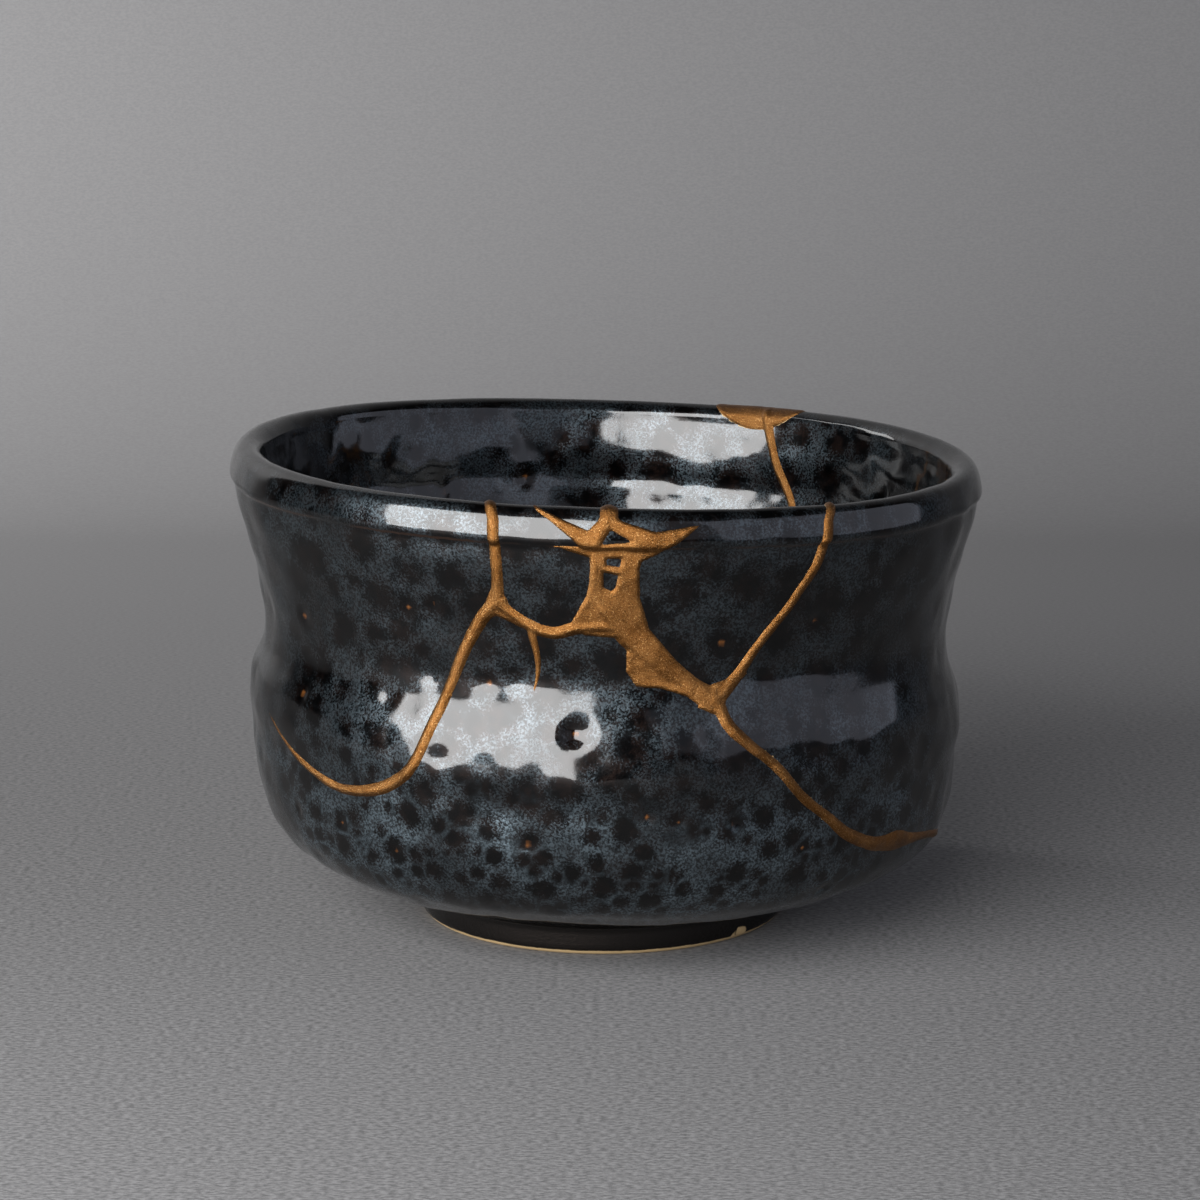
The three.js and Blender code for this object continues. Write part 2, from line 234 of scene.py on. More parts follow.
# The thrown bowl: stoneware turned on the wheel, its section drawn as [radius, height] in mm from
# the middle of the foot out, up the wall, over the rolled lip and down inside. A place on the wall
# is [angle in degrees, height], 0 the front and 90 the right, while the bowl is upright; it leans
# at the end. A lift is [height, mm], and a rim wave is [waves round the rim, mm].
MM = 0.001
FOOT_RING = [[0, 3.4], [24.6, 3.4], [26.2, 0], [30.1, 0], [30.9, 0.8], [31, 4.4], [32.6, 5.6]]
OUTER_WALL = [
    [36.5, 6.8], [47, 10], [54.2, 14], [57.4, 19], [58.8, 25], [59.1, 31], [59.6, 36], [59.1, 41],
    [57.5, 46], [57.1, 50], [57.6, 54], [58.5, 59], [59.8, 64], [61, 68.4], [61.8, 72.6],
]
LIP = [
    [62.3, 73.2], [62.55, 74.1], [62.3, 75.9], [61.8, 77.5], [60.9, 78.5], [59.5, 78.8], [58, 78.3],
    [57.1, 76.9], [56.7, 74.6],
]
INNER_WALL = [
    [56.2, 70], [54.6, 64], [53.3, 58.5], [52.3, 54], [51.9, 50], [52.6, 45], [54, 40], [54.3, 35],
    [53.9, 29], [53.1, 23.5], [50.6, 18.6], [45, 14.6], [36, 11.4], [24, 9.4], [11, 8.6], [0, 8.4],
]
SIDE_LIFT = [[0, 0], [5, 0], [15, 1.3], [25, 2.2], [35, 2.9], [50, 1.6], [80, 1.75]]
RIM_WAVES = [[1, -0.8], [2, -0.28], [3, 0.31]]
WAVE_FROM, RIM_HEIGHT, FOOT_SHIFT = 45, 80, 0.57
LIP_RISE, LIP_FROM, LIP_HEIGHT = 0.55, 74, 4.5
COLUMNS = 520
SECTION_STEP, SPONGE_STEPS = 0.05, 15


def spline(points, per_leg):
    """A smooth line through the points: a cubic for each leg, whose slope at a point is half the
    step from the point before to the point after."""
    p = np.array(points, dtype=float)
    t = np.linspace(0, len(p) - 1, (len(p) - 1) * per_leg + 1)
    i = np.minimum(t.astype(int), len(p) - 2)
    f = (t - i)[:, None]
    a, b, c, d = p[np.maximum(i - 1, 0)], p[i], p[i + 1], p[np.minimum(i + 2, len(p) - 1)]
    return b + 0.5 * f * ((c - a) + f * ((2 * a - 5 * b + 4 * c - d) + f * (3 * (b - c) + d - a)))


def line_lengths(line):
    """The distance along a line of points at each point."""
    return np.concatenate([[0], np.cumsum(np.linalg.norm(np.diff(line, axis=0), axis=1))])


drawn = np.concatenate(
    [
        np.array(FOOT_RING[:-1]),
        spline(FOOT_RING[-1:] + OUTER_WALL, 12),
        spline(LIP, 10),
        spline(LIP[-1:] + INNER_WALL, 12)[1:],
    ]
)
drawn_at = line_lengths(drawn)
# The section worked out afresh every twentieth of a mm, with its corners softened as a sponge
# leaves them: each point is the mean of those within 0.35 mm of it along the line.
along_section = np.arange(0, drawn_at[-1], SECTION_STEP)
section = np.stack([np.interp(along_section, drawn_at, drawn[:, i]) for i in (0, 1)], axis=1)
sponge = np.ones(SPONGE_STEPS) / SPONGE_STEPS
reach = SPONGE_STEPS // 2
padded = np.concatenate([section[:1].repeat(reach, 0), section, section[-1:].repeat(reach, 0)])
section = np.stack([np.convolve(padded[:, i], sponge, "valid") for i in (0, 1)], axis=1)
section[[0, -1], 0] = 0
facing = np.gradient(section, axis=0)
facing = np.stack([facing[:, 1], -facing[:, 0]], axis=1)
facing /= np.linalg.norm(facing, axis=1)[:, None]
top_of_lip = along_section[np.argmax(section[:, 1])]
foot_end = drawn_at[len(FOOT_RING) - 1]


def at_height(height, inside=False):
    """How far along the section a height lies, on the outside or the inside of the wall."""
    wall = along_section > top_of_lip
    if not inside:
        wall = ~wall & (along_section > foot_end)
    order = np.argsort(section[wall, 1])
    return np.interp(height, section[wall, 1][order], along_section[wall][order])


# How far apart the rows of points lie along the section, as [place along it, gap]: closer where
# the eye is on the bowl.
ROW_GAPS = [
    [0, 3.0], [22, 2.2], [25, 0.6], [foot_end - 8, 0.45], [foot_end + 4, 0.8], [at_height(70), 0.8],
    [at_height(72), 0.45], [top_of_lip, 0.6], [at_height(72, True), 0.9],
    [at_height(20, True), 1.3], [at_height(12, True), 3.0], [drawn_at[-1], 4.5],
]
gaps = np.interp(along_section, *np.array(ROW_GAPS, dtype=float).T)
passed = np.concatenate([[0], np.cumsum(SECTION_STEP / gaps[:-1])])
ROWS = int(passed[-1])
rows_at = np.interp(np.linspace(0, passed[-1], ROWS), passed, along_section)
turns = np.arange(COLUMNS) * 2 * np.pi / COLUMNS
row_radius, row_height = (np.interp(rows_at, along_section, section[:, i]) for i in (0, 1))
row_facing = np.stack([np.interp(rows_at, along_section, facing[:, i]) for i in (0, 1)], axis=1)


def round_the_bowl(radius, height, turn):
    """A place from its radius, height and turn from the front, in mm, with the bowl upright."""
    return np.stack([radius * np.sin(turn), -radius * np.cos(turn), height + 0 * turn], axis=-1)


upright = round_the_bowl(row_radius[:, None], row_height[:, None], turns[None, :])

# The surface of the glaze: the rings that the potter's fingers left, slow swells in the wall, and
# the dimples, pits and one open crater that burst bubbles leave, each sunk into the glaze. A pit
# or hollow is [angle, height, size in mm]; the relief tables are [height, mm out from the section].
seeded = np.random.default_rng(7)
PIT_PLACES = [
    [-55.7, 55.3, 0.9], [-55.1, 42.4, 1.0], [-31, 60.8, 0.8], [-26.4, 62.1, 0.6],
    [-45.2, 23.5, 0.6], [-57.6, 22.8, 0.4], [-34, 21.4, 0.7], [-11.6, 25.4, 0.9],
    [-18.2, 50, 0.9], [33.4, 60.2, 0.8], [17.6, 57.5, 0.9], [6.2, 30.8, 0.8],
    [10.9, 30.1, 0.6], [19.6, 29.5, 0.6], [31.9, 24.2, 0.6], [38.2, 15.8, 0.5],
]
INSIDE_PITS = [[-147.9, 62.7, 0.9], [-164.5, 64.9, 0.9], [-132, 52, 0.6], [170, 57, 0.7]]
CRATER, CRATER_SIZE, CALM_SIZE, DARK_PLACE = [-4.5, 43.2], 2.0, 9.0, [-10.2, 57]
CELL_GAPS, DIMPLE_GAPS = (3.3, 6.2), (7.5, 10)
HOLLOWS = [
    [-32.8, 35.8, 1.9], [-25.5, 37.2, 1.6], [-11.0, 35.2, 1.7], [-20.2, 28.9, 1.5],
    [-15.7, 29.6, 2.0], [-35.8, 45.4, 1.7], [-13.5, 50.6, 1.5], [-28.0, 50.2, 1.3],
    [0.7, 33.4, 1.4], [12.6, 33.6, 1.5],
]
FRONT_FLAT = [
    [33, 0], [36, 0], [38.5, -0.13], [41, -0.22], [43.5, 0], [46, 0.22], [48.5, 0.18], [51, 0],
    [54, -0.08], [58, 0],
]
SWELL_PLACE, SWELL_SIZE, SWELL_RISE = [-6, 34], 6.5, 0.32
CREST_CLIMB, WAIST_CLIMB = 2.2, 3.6
INNER_RINGS = [
    [54, 0], [58, 0], [60.5, -0.35], [62.3, -0.65], [64.6, -0.72], [67.4, -0.08], [70.2, 0.52],
    [73, 0.34], [75.6, 0.14], [77, 0.36], [78, 0.1], [78.4, 0],
]


def waves(points, size, count, seed):
    """A slow swell from -1 to 1 or so: the mean of plane waves in seeded directions, each about as
    long as the given size in mm."""
    dice = np.random.default_rng(seed)
    ways = dice.normal(size=(count, 3))
    lengths = size * dice.uniform(0.7, 1.5, count)
    ways *= (2 * np.pi / lengths / np.linalg.norm(ways, axis=1))[:, None]
    return np.sin(points @ ways.T + dice.uniform(0, 2 * np.pi, count)).sum(-1) / np.sqrt(count)


def scattered(low, high):
    """Seeded places all over the bowl's surface: rings a spacing apart, each ring with places a
    spacing apart, and every place then thrown off by about a third of it; the spacing goes from
    low, by the foot, to high from 60 mm up."""
    spacing_at = np.interp(section[:, 1], [12, 60], [low, high])
    passed = np.concatenate([[0], np.cumsum(SECTION_STEP / spacing_at[:-1])])
    rings = np.interp(np.arange(0.5, passed[-1]), passed, along_section)
    radii, spacing = (np.interp(rings, along_section, a) for a in (section[:, 0], spacing_at))
    counts = np.maximum(1, np.round(2 * np.pi * radii / spacing)).astype(int)
    ring, spacing = np.repeat(rings, counts), np.repeat(spacing, counts)
    step = np.concatenate([np.arange(n) / n for n in counts])
    step += np.repeat(seeded.random(len(rings)), counts)
    ring = np.clip(ring + seeded.normal(size=len(ring)) * spacing * 0.3, 0, drawn_at[-1])
    radius, height = (np.interp(ring, along_section, section[:, i]) for i in (0, 1))
    turn = 2 * np.pi * step + seeded.normal(size=len(ring)) * spacing * 0.3 / np.maximum(radius, 4)
    return round_the_bowl(radius, height, turn), spacing


def nearest_of(points, centres, sizes, faint=0.0):
    """For each point, the least and the next least over the centres of the distance over the
    centre's size, plus how faint that centre is; centres are taken forty at a time."""
    faint = np.broadcast_to(np.float32(faint), len(centres))
    flat = points.reshape(-1, 3).astype(np.float32)
    least = np.full((2, len(flat)), 3.0, np.float32)
    for start in range(0, len(centres), 40):
        these = slice(start, start + 40)
        some, size = centres[these].astype(np.float32), sizes[these].astype(np.float32)
        apart = (flat**2).sum(1)[:, None] - 2 * flat @ some.T + (some**2).sum(1)[None, :]
        apart = np.sqrt(np.maximum(apart, 0)) / size + faint[these]
        two = np.partition(np.concatenate([least.T, apart], axis=1), 1, axis=1)[:, :2]
        least = two.T
    return least.reshape(2, *points.shape[:-1])


def hollow_at(centres, sizes, sharp=2):
    """One at each centre, falling away with distance over size as a bell curve does."""
    return np.exp(-(nearest_of(upright, centres, sizes)[0] ** sharp))


def on_the_wall(places, inside=False):
    """Upright points, in mm, of places given as [angle, height, ...] on one face of the wall."""
    places = np.array(places, dtype=float)
    s = at_height(places[:, 1], inside)
    radius, height = (np.interp(s, along_section, section[:, i]) for i in (0, 1))
    return round_the_bowl(radius, height, np.radians(places[:, 0]))


cells, cell_spacing = scattered(*CELL_GAPS)
cell_size = np.interp(cell_spacing, CELL_GAPS, [0.56, 0.47]) * cell_spacing
cell_size *= seeded.uniform(0.6, 1.35, len(cells))
cell_faint = 0.7 * seeded.random(len(cells)) ** 2
pits = np.concatenate([on_the_wall(PIT_PLACES), on_the_wall(INSIDE_PITS, True)])
pit_size = np.array([p[2] for p in PIT_PLACES + INSIDE_PITS])
crater = on_the_wall([CRATER])
dark_cell, next_cell = nearest_of(
    upright,
    np.concatenate([cells, pits, crater, on_the_wall([DARK_PLACE])]),
    np.concatenate([cell_size, 1.3 + 1.3 * pit_size, [2.6], [3.4]]),
    np.concatenate([cell_faint, np.zeros(len(pits) + 2)]),
)
amber = nearest_of(upright, np.concatenate([pits, crater]), np.concatenate([pit_size, [0.8]]))[0]
dimples, dimple_size = scattered(*DIMPLE_GAPS)
dimple_size = 0.26 * dimple_size * seeded.uniform(0.6, 1.3, len(dimples))
hollows = on_the_wall(HOLLOWS)
hollow_size = np.array([place[2] for place in HOLLOWS])
outside = (rows_at < top_of_lip)[:, None]


def climbing_ring():
    """How the front differs from the turned section, in mm out: flatter between the crest and the
    waist, and to the right both climb. It is the radius that much lower less the radius here, where
    the climb is a share of sine times cosine of the turn, from nothing at 25 mm up to nothing at
    62 mm."""
    sine, front = np.maximum(np.sin(turns), 0), np.maximum(np.cos(turns), 0)
    near_crest = np.interp(row_height, [25, 37, 50], [0, 1, 0])[:, None]
    near_waist = np.interp(row_height, [37, 50, 62], [0, 1, 0])[:, None]
    climb = (near_crest * CREST_CLIMB + near_waist * WAIST_CLIMB) * sine * front
    height = row_height[:, None] - climb
    on_wall = (along_section > foot_end) & (along_section < top_of_lip)
    wall_radius, wall_height = section[on_wall].T
    lower_radius = np.interp(height, wall_height, wall_radius)
    radius = np.interp(row_height[:, None], wall_height, wall_radius)
    flat = np.interp(height, *spline(FRONT_FLAT, 8).T) * front**1.5
    flat *= np.interp(np.degrees(np.arctan2(np.sin(turns), np.cos(turns))), [-38, -12], [0, 1])
    return np.where(outside, lower_radius + flat - radius, 0)


def relief_of_the_glaze():
    """How far the glaze lies out from the turned section, in mm: the climbing ring, the rings
    inside, finger rings and slow swells, less a shallow hollow at each cell and dimple, a deeper
    one at each pit, and a ledge under the lip; the glaze is calm round the crater."""
    calm = 1 - 0.85 * hollow_at(crater, np.array([CALM_SIZE]))
    hollow = 0.035 * hollow_at(cells, cell_size * 0.8) * calm
    hollow += 0.12 * hollow_at(dimples, dimple_size) * calm
    hollow += 0.26 * hollow_at(hollows, hollow_size)
    hollow += 0.35 * hollow_at(pits, pit_size * 1.1 + 0.3)
    hollow += 0.80 * hollow_at(crater, np.array([CRATER_SIZE]), 3)
    rings = 0.045 * np.sin(2 * np.pi * rows_at / 6.5 + 1.5 * np.sin(rows_at / 11))[:, None]
    swell = 0.16 * waves(upright, 34, 9, 3) + 0.05 * waves(upright, 13, 12, 5)
    swell += (0.065 + 0.055 * ~outside) * waves(upright, 9.5, 16, 6) * calm
    swell += 0.035 * waves(upright, 4.5, 16, 9) * ~outside
    from_foot, floor_middle = [foot_end, foot_end + 10], [drawn_at[-1] - 60, drawn_at[-1]]
    fade = np.interp(rows_at, from_foot + floor_middle, [0, 1, 1, 0])
    inner = np.interp(row_height, *spline(INNER_RINGS, 8).T)[:, None] * ~outside
    wander = 1 + 0.35 * waves(upright, 30, 7, 8)
    lip = np.exp(-(((rows_at - top_of_lip) / 7) ** 2))[:, None]
    ledge = 0.22 * np.exp(-(((rows_at - at_height(73.0)) / 0.55) ** 2))[:, None]
    turned = climbing_ring() + inner * wander + (rings + swell) * fade[:, None] * (1 - 0.75 * lip)
    turned = turned + SWELL_RISE * hollow_at(on_the_wall([SWELL_PLACE]), np.array([SWELL_SIZE]))
    return turned - hollow * (1 - 0.7 * lip) - ledge - 0.22 * lip


on_foot = np.interp(rows_at, [foot_end - 3, foot_end + 3], [0, 1])[:, None]
relief = relief_of_the_glaze() * on_foot
glaze_radius = row_radius[:, None] + relief * row_facing[:, :1]
glaze_height = row_height[:, None] + relief * row_facing[:, 1:]


def leant(points):
    """The bowl's own warp: the left side lifts and the right drops by a height's share, the rim
    waves round its circle, the lip is a little taller in front, and the foot stands a little to the
    left; upright mm in, metres out."""
    x, y, z = np.moveaxis(points, -1, 0)
    turn = np.arctan2(x, -y)
    share = np.clip((z - WAVE_FROM) / (RIM_HEIGHT - WAVE_FROM), 0, 1)
    share = share * share * (3 - 2 * share)
    wave = share * sum(rise * np.cos(count * turn) for count, rise in RIM_WAVES)
    wave += LIP_RISE * np.clip((z - LIP_FROM) / LIP_HEIGHT, 0, 1) * np.maximum(np.cos(turn), 0)
    lift = np.interp(z, *np.array(SIDE_LIFT, dtype=float).T) * np.sin(turn)
    return np.stack([x - FOOT_SHIFT * (1 - z / RIM_HEIGHT), y, z + wave - lift], axis=-1) * MM


glazed = leant(round_the_bowl(glaze_radius, glaze_height, turns[None, :]))
whole_points = np.concatenate([glazed[:1, 0], glazed[1:-1].reshape(-1, 3), glazed[-1:, 0]])
ring_faces = sheet_faces(ROWS - 2, COLUMNS, closed=True) + 1
column = np.arange(COLUMNS)
beside, last_row = (column + 1) % COLUMNS, 1 + (ROWS - 3) * COLUMNS
foot_cap = np.stack([0 * column, beside + 1, column + 1], axis=1)
floor_cap = [0 * column + len(whole_points) - 1, column + last_row, beside + last_row]
floor_cap = np.stack(floor_cap, axis=1)
split = np.concatenate([ring_faces[:, [0, 1, 2]], ring_faces[:, [0, 2, 3]], foot_cap, floor_cap])
bowl = put_in("whole_bowl", whole_points, split)


def keep(piece, name, grid):
    """Keeps a value for each point of the bowl's grid as the piece's own attribute."""
    grid = np.broadcast_to(grid, (ROWS, COLUMNS))
    values = np.concatenate([grid[:1, 0], grid[1:-1].ravel(), grid[-1:, 0]]).astype(np.float32)
    piece.data.attributes.new(name, "FLOAT", "POINT").data.foreach_set("value", values)


keep(bowl, "dark_cell", dark_cell)
keep(bowl, "cell_rim", next_cell - dark_cell)
keep(bowl, "amber", amber)
FOOT_MISS = round_the_bowl(31.0, np.array([0.8, 1.2, 1.0]), np.radians([44, 46.3, 48.6]))
keep(bowl, "foot_miss", nearest_of(upright, FOOT_MISS, np.array([0.8, 1.0, 1.1]))[0])
keep(bowl, "along_section", rows_at[:, None])

# The glaze: black iron glaze with a bloom of blue-grey crystals under a clear glassy skin. Round
# dark cells show where bubbles burst, amber in their middles; it breaks brown on the ledge, and the
# foot's lower edge is bare buff clay.
IRON_BLACK, IRON_BROWN = (0.0010, 0.0009, 0.0010), (0.0055, 0.0032, 0.0026)
CRYSTAL_BLUE, BURST_AMBER = (0.104, 0.135, 0.156), (0.15, 0.055, 0.013)
LEDGE_BROWN, FOOT_GLAZE = (0.045, 0.020, 0.010), (0.011, 0.0085, 0.0072)
BUFF_CLAY = (0.40, 0.285, 0.15)
LEDGE_HEIGHT, CLAY_MIDDLE, CRYSTAL_SHINE = 73.2, 30.9, 0.84
glaze, nodes, links, shader = material("crystal_glaze")


def kept(name):
    """A value that the piece keeps for each point."""
    return node(nodes, "ShaderNodeAttribute", attribute_name=name).outputs["Fac"]


def noise(scale, detail=3.0, rough=0.5):
    """Cloudy noise on the object's own coordinates, scale in lumps to the metre."""
    made = node(nodes, "ShaderNodeTexNoise", {"Scale": scale, "Detail": detail, "Roughness": rough})
    links.new(place, made.inputs["Vector"])
    return made.outputs["Fac"]


place = node(nodes, "ShaderNodeTexCoord").outputs["Object"]
speckle = noise(2600, 2.0, 0.7)
mottle = noise(420, 4.0, 0.6)
clouds = noise(70, 3.0, 0.5)
lace_cells = node(nodes, "ShaderNodeTexVoronoi", {"Scale": 620.0, "Randomness": 1.0})
links.new(place, lace_cells.inputs["Vector"])
lace = between(lace_cells.outputs["Distance"], 0.12, 0.5)
swing = maths("MULTIPLY_ADD", mottle, 1.7, -0.85)
swing = maths("ADD", swing, maths("MULTIPLY_ADD", speckle, 1.7, -0.85))
open_bloom = between(maths("ADD", kept("dark_cell"), swing), 0.62, 1.5)
open_bloom = maths("MULTIPLY", open_bloom, maths("MULTIPLY_ADD", lace, 0.4, 0.6))
network = between(maths("MULTIPLY_ADD", swing, 0.55, kept("cell_rim")), 0.46, 0.06)
section_place = maths("ADD", kept("along_section"), maths("MULTIPLY_ADD", mottle, 1.2, -0.6))
low_wall = between(section_place, at_height(40), at_height(24))
network = maths("MULTIPLY", network, maths("MULTIPLY_ADD", low_wall, 0.75, 0.1))
bloom = maths("MAXIMUM", open_bloom, network)
cloudy = maths("MULTIPLY_ADD", between(clouds, 0.34, 0.60), 0.60, 0.40)
bloom = maths("MULTIPLY", bloom, cloudy)
bloom = maths("MULTIPLY", bloom, between(section_place, foot_end - 1.0, foot_end + 2.0))
grains = between(speckle, 0.42, 0.60)
crystals = maths("MULTIPLY", bloom, maths("MULTIPLY_ADD", grains, 0.8, 0.2))
crystals = maths("MULTIPLY", crystals, maths("MULTIPLY_ADD", low_wall, 0.60, 0.40))
colour = mixed(between(mottle, 0.4, 0.6), IRON_BLACK, IRON_BROWN)
colour = mixed(crystals, colour, CRYSTAL_BLUE)
ledge_line = maths("ABSOLUTE", maths("SUBTRACT", section_place, at_height(LEDGE_HEIGHT)))
ledge_share = maths("MULTIPLY", between(ledge_line, 0.45, 0.1), between(clouds, 0.42, 0.58))
colour = mixed(ledge_share, colour, LEDGE_BROWN)
amber_share = between(maths("MULTIPLY_ADD", mottle, 0.9, kept("amber")), 1.35, 0.6)
colour = mixed(amber_share, colour, BURST_AMBER)
foot_edge = maths("MULTIPLY_ADD", mottle, 0.4, kept("along_section"))
foot_edge = maths("ABSOLUTE", maths("SUBTRACT", foot_edge, CLAY_MIDDLE))
bare_clay = between(foot_edge, 2.75, 2.45)
foot_miss = between(maths("MULTIPLY_ADD", mottle, 1.6, kept("foot_miss")), 1.75, 1.45)
bare_clay = maths("MAXIMUM", bare_clay, foot_miss)
colour = mixed(between(section_place, foot_end + 1.0, foot_end - 1.0), colour, FOOT_GLAZE)
colour = mixed(bare_clay, colour, BUFF_CLAY)
links.new(colour, shader.inputs["Base Color"])
bare_or_amber = maths("MAXIMUM", bare_clay, maths("MULTIPLY", amber_share, 0.7))
shine = maths("MULTIPLY_ADD", bare_or_amber, -CRYSTAL_SHINE, CRYSTAL_SHINE)
links.new(shine, shader.inputs["Metallic"])
links.new(maths("MULTIPLY_ADD", grains, -0.06, 0.40), shader.inputs["Roughness"])
shader.inputs["Specular IOR Level"].default_value = 0.05
shader.inputs["Specular Tint"].default_value = (0.2, 0.2, 0.2, 1)
links.new(maths("SUBTRACT", 1.0, bare_clay), shader.inputs["Coat Weight"])
shader.inputs["Coat Roughness"].default_value = 0.1
shader.inputs["Coat IOR"].default_value = 1.46
fine = node(nodes, "ShaderNodeBump", {"Strength": 0.35, "Distance": 0.0002})
links.new(speckle, fine.inputs["Height"])
links.new(fine.outputs["Normal"], shader.inputs["Normal"])
skin = node(nodes, "ShaderNodeBump", {"Strength": 0.04, "Distance": 0.0004})
links.new(mottle, skin.inputs["Height"])
links.new(skin.outputs["Normal"], shader.inputs["Coat Normal"])
bowl.data.materials.append(glaze)

# The breaks: the bowl fell into one large shard and three from the wall. Each crack is a line of
# [angle, height, width of the gold on it]; a narrow slot is cut along it right through the wall,
# and a half-moon chip is missing from the back of the rim.
OVER_THE_RIM, UNROLLED_RADIUS = 84, 59
MM_PER_DEGREE = np.pi / 180 * UNROLLED_RADIUS
FRONT_LEFT_SEAM = [[-16.3, OVER_THE_RIM, 1.7], [-16, 76.5, 1.7], [-15.7, 69, 1.7], [-16, 63.2, 2.2]]
FRONT_BRIDGE = [
    [-16.2, 63.6, 2], [-12.1, 60.5, 1.9], [-7.9, 59, 1.9], [-3.6, 60.2, 2.2], [1.6, 60.6, 2.4],
]
PATCH_CRACK = [
    [0.2, OVER_THE_RIM, 2.4], [0.1, 77.8, 2.2], [-1.5, 74.4, 1.6], [-1.6, 70.5, 1.5],
    [-1.5, 66, 1.6], [0.6, 61.6, 2.4], [3.8, 58, 3], [8.6, 53.6, 3], [17, 48.7, 2.4],
]
FRONT_RIGHT_SEAM = [
    [16.6, 48.4, 2.4], [20.6, 52, 1.9], [23.2, 56.2, 1.7], [27.2, 61.8, 1.6], [29.7, 66.4, 1.6],
    [31.7, 70.9, 1.7], [32.9, 76.5, 1.7], [33.3, OVER_THE_RIM, 1.7],
]
LOWER_RIGHT_SEAM = [
    [16.6, 49.4, 2.4], [18.8, 44.6, 2], [22.1, 41.6, 1.7], [26.3, 38.3, 1.6], [31.2, 33, 1.6],
    [36.3, 28.9, 1.7], [40.2, 25.7, 2.1], [45.9, 23, 2.4], [49.6, 22.2, 2.9], [53.3, 21.9, 3.8],
    [57.2, 21.2, 2.6], [62.5, 20.5, 1.6], [68, 19.6, 1.5], [73, 18.3, 1.5], [79, 16.8, 1.6],
    [87, 16, 1.7], [97, 17, 1.7], [107, 21.5, 1.7], [117, 29.5, 1.8], [127, 40, 1.8],
    [135.5, 51, 1.7], [141, 61, 1.6], [146, 69, 1.8], [149.6, 78, 2],
]
CHIP_ANGLE, CHIP_HALF_WIDTH, CHIP_BOTTOM = 151.5, 9.8, 75
CHIP_DEPTH, CHIP_STEPS, HAIR = RIM_HEIGHT - CHIP_BOTTOM, 17, 0.001
CUT_INNER_RADIUS, CUT_OUTER_RADIUS = 44, 76
CRACK_SKEW, SKEW_FADE, WALL_THICKNESS, LIP_WIDEST = 0.13, 60, 5.5, 74.9
THREAD_SHARE, SLOT_ROOM = 0.4, 0.3


def crack_line(crack, per_leg=6):
    """A crack's smooth line as (mm round the bowl, height, width of gold) at each step."""
    line = np.array(crack, dtype=float)
    line[:, 0] *= MM_PER_DEGREE
    return spline(line, per_leg)


def skew(around):
    """How far a crack turns, in mm round the bowl, from the outer face to the inner: cracks near
    the front run straight back through the wall, so it is a share of the way round that fades to
    the sides as a bell curve does."""
    return CRACK_SKEW * around * np.exp(-((around / MM_PER_DEGREE / SKEW_FADE) ** 2))


def wall_cut(name, one_edge, other_edge, skewed=True):
    """A closed prism right through the wall between two lines of (mm round the bowl, height):
    inner, face and outer corners on each line at each step, joined round, with two squares at each
    end."""
    corners = []
    for edge, order in ((one_edge, (0, 1, 2)), (other_edge, (2, 1, 0))):
        s = at_height(np.minimum(edge[:, 1], LIP_WIDEST))
        outer_face = np.interp(s, along_section, section[:, 0])
        radii = [CUT_INNER_RADIUS + 0 * s, outer_face, CUT_OUTER_RADIUS + 0 * s]
        for radius in (radii[i] for i in order):
            turned = skewed * skew(edge[:, 0]) * np.maximum(outer_face - radius, 0) / WALL_THICKNESS
            turn = (edge[:, 0] + turned) / UNROLLED_RADIUS
            corners.append(round_the_bowl(radius, edge[:, 1], turn))
    points = np.stack(corners, axis=1)
    sides = sheet_faces(len(points), 6, closed=True)
    end = np.array([[0, 1, 4, 5], [1, 2, 3, 4]])
    faces = np.concatenate([sides, end[:, ::-1], end + 6 * (len(points) - 1)])
    return put_in(name, leant(points.reshape(-1, 3)), faces, smooth=False)


def crack_cut(name, crack):
    """The slot for one crack: its line moved to either side by half of a share of the gold's width
    plus some room."""
    line = crack_line(crack, 4)
    way = np.gradient(line[:, :2], axis=0)
    way /= np.linalg.norm(way, axis=1)[:, None]
    half = (THREAD_SHARE * line[:, 2] + SLOT_ROOM) / 2
    off = np.stack([-way[:, 1], way[:, 0]], axis=1) * half[:, None]
    return wall_cut(name, line[:, :2] + off, line[:, :2] - off)


# The chip's lower edge is a parabola, and its cut is closed by a level line over the rim.
chip_step = np.linspace(-1, 1, CHIP_STEPS) * np.sqrt((OVER_THE_RIM - CHIP_BOTTOM) / CHIP_DEPTH)
chip_round = (CHIP_ANGLE + CHIP_HALF_WIDTH * chip_step) * MM_PER_DEGREE
chip_low = np.stack([chip_round, CHIP_BOTTOM + CHIP_DEPTH * chip_step**2 - HAIR], axis=1)
chip_high = np.stack([chip_round, np.full(CHIP_STEPS, OVER_THE_RIM + 0.5)], axis=1)
cuts = [
    crack_cut("cut_front_left", FRONT_LEFT_SEAM),
    crack_cut("cut_bridge", FRONT_BRIDGE),
    crack_cut("cut_patch", PATCH_CRACK),
    crack_cut("cut_front_right", FRONT_RIGHT_SEAM),
    crack_cut("cut_lower_right", LOWER_RIGHT_SEAM),
    wall_cut("cut_chip", chip_high, chip_low, skewed=False),
]


def outward(piece):
    """Turns a closed piece's faces outwards: the sum of its corners' signed volumes tells which
    way they face."""
    mesh = piece.data
    points = np.empty(len(mesh.vertices) * 3)
    mesh.vertices.foreach_get("co", points)
    points = points.reshape(-1, 3)
    mesh.calc_loop_triangles()
    triangles = np.empty(len(mesh.loop_triangles) * 3, dtype=np.int32)
    mesh.loop_triangles.foreach_get("vertices", triangles)
    a, b, c = np.moveaxis(points[triangles.reshape(-1, 3)], 1, 0)
    if (a * np.cross(b, c)).sum() < 0:
        mesh.flip_normals()


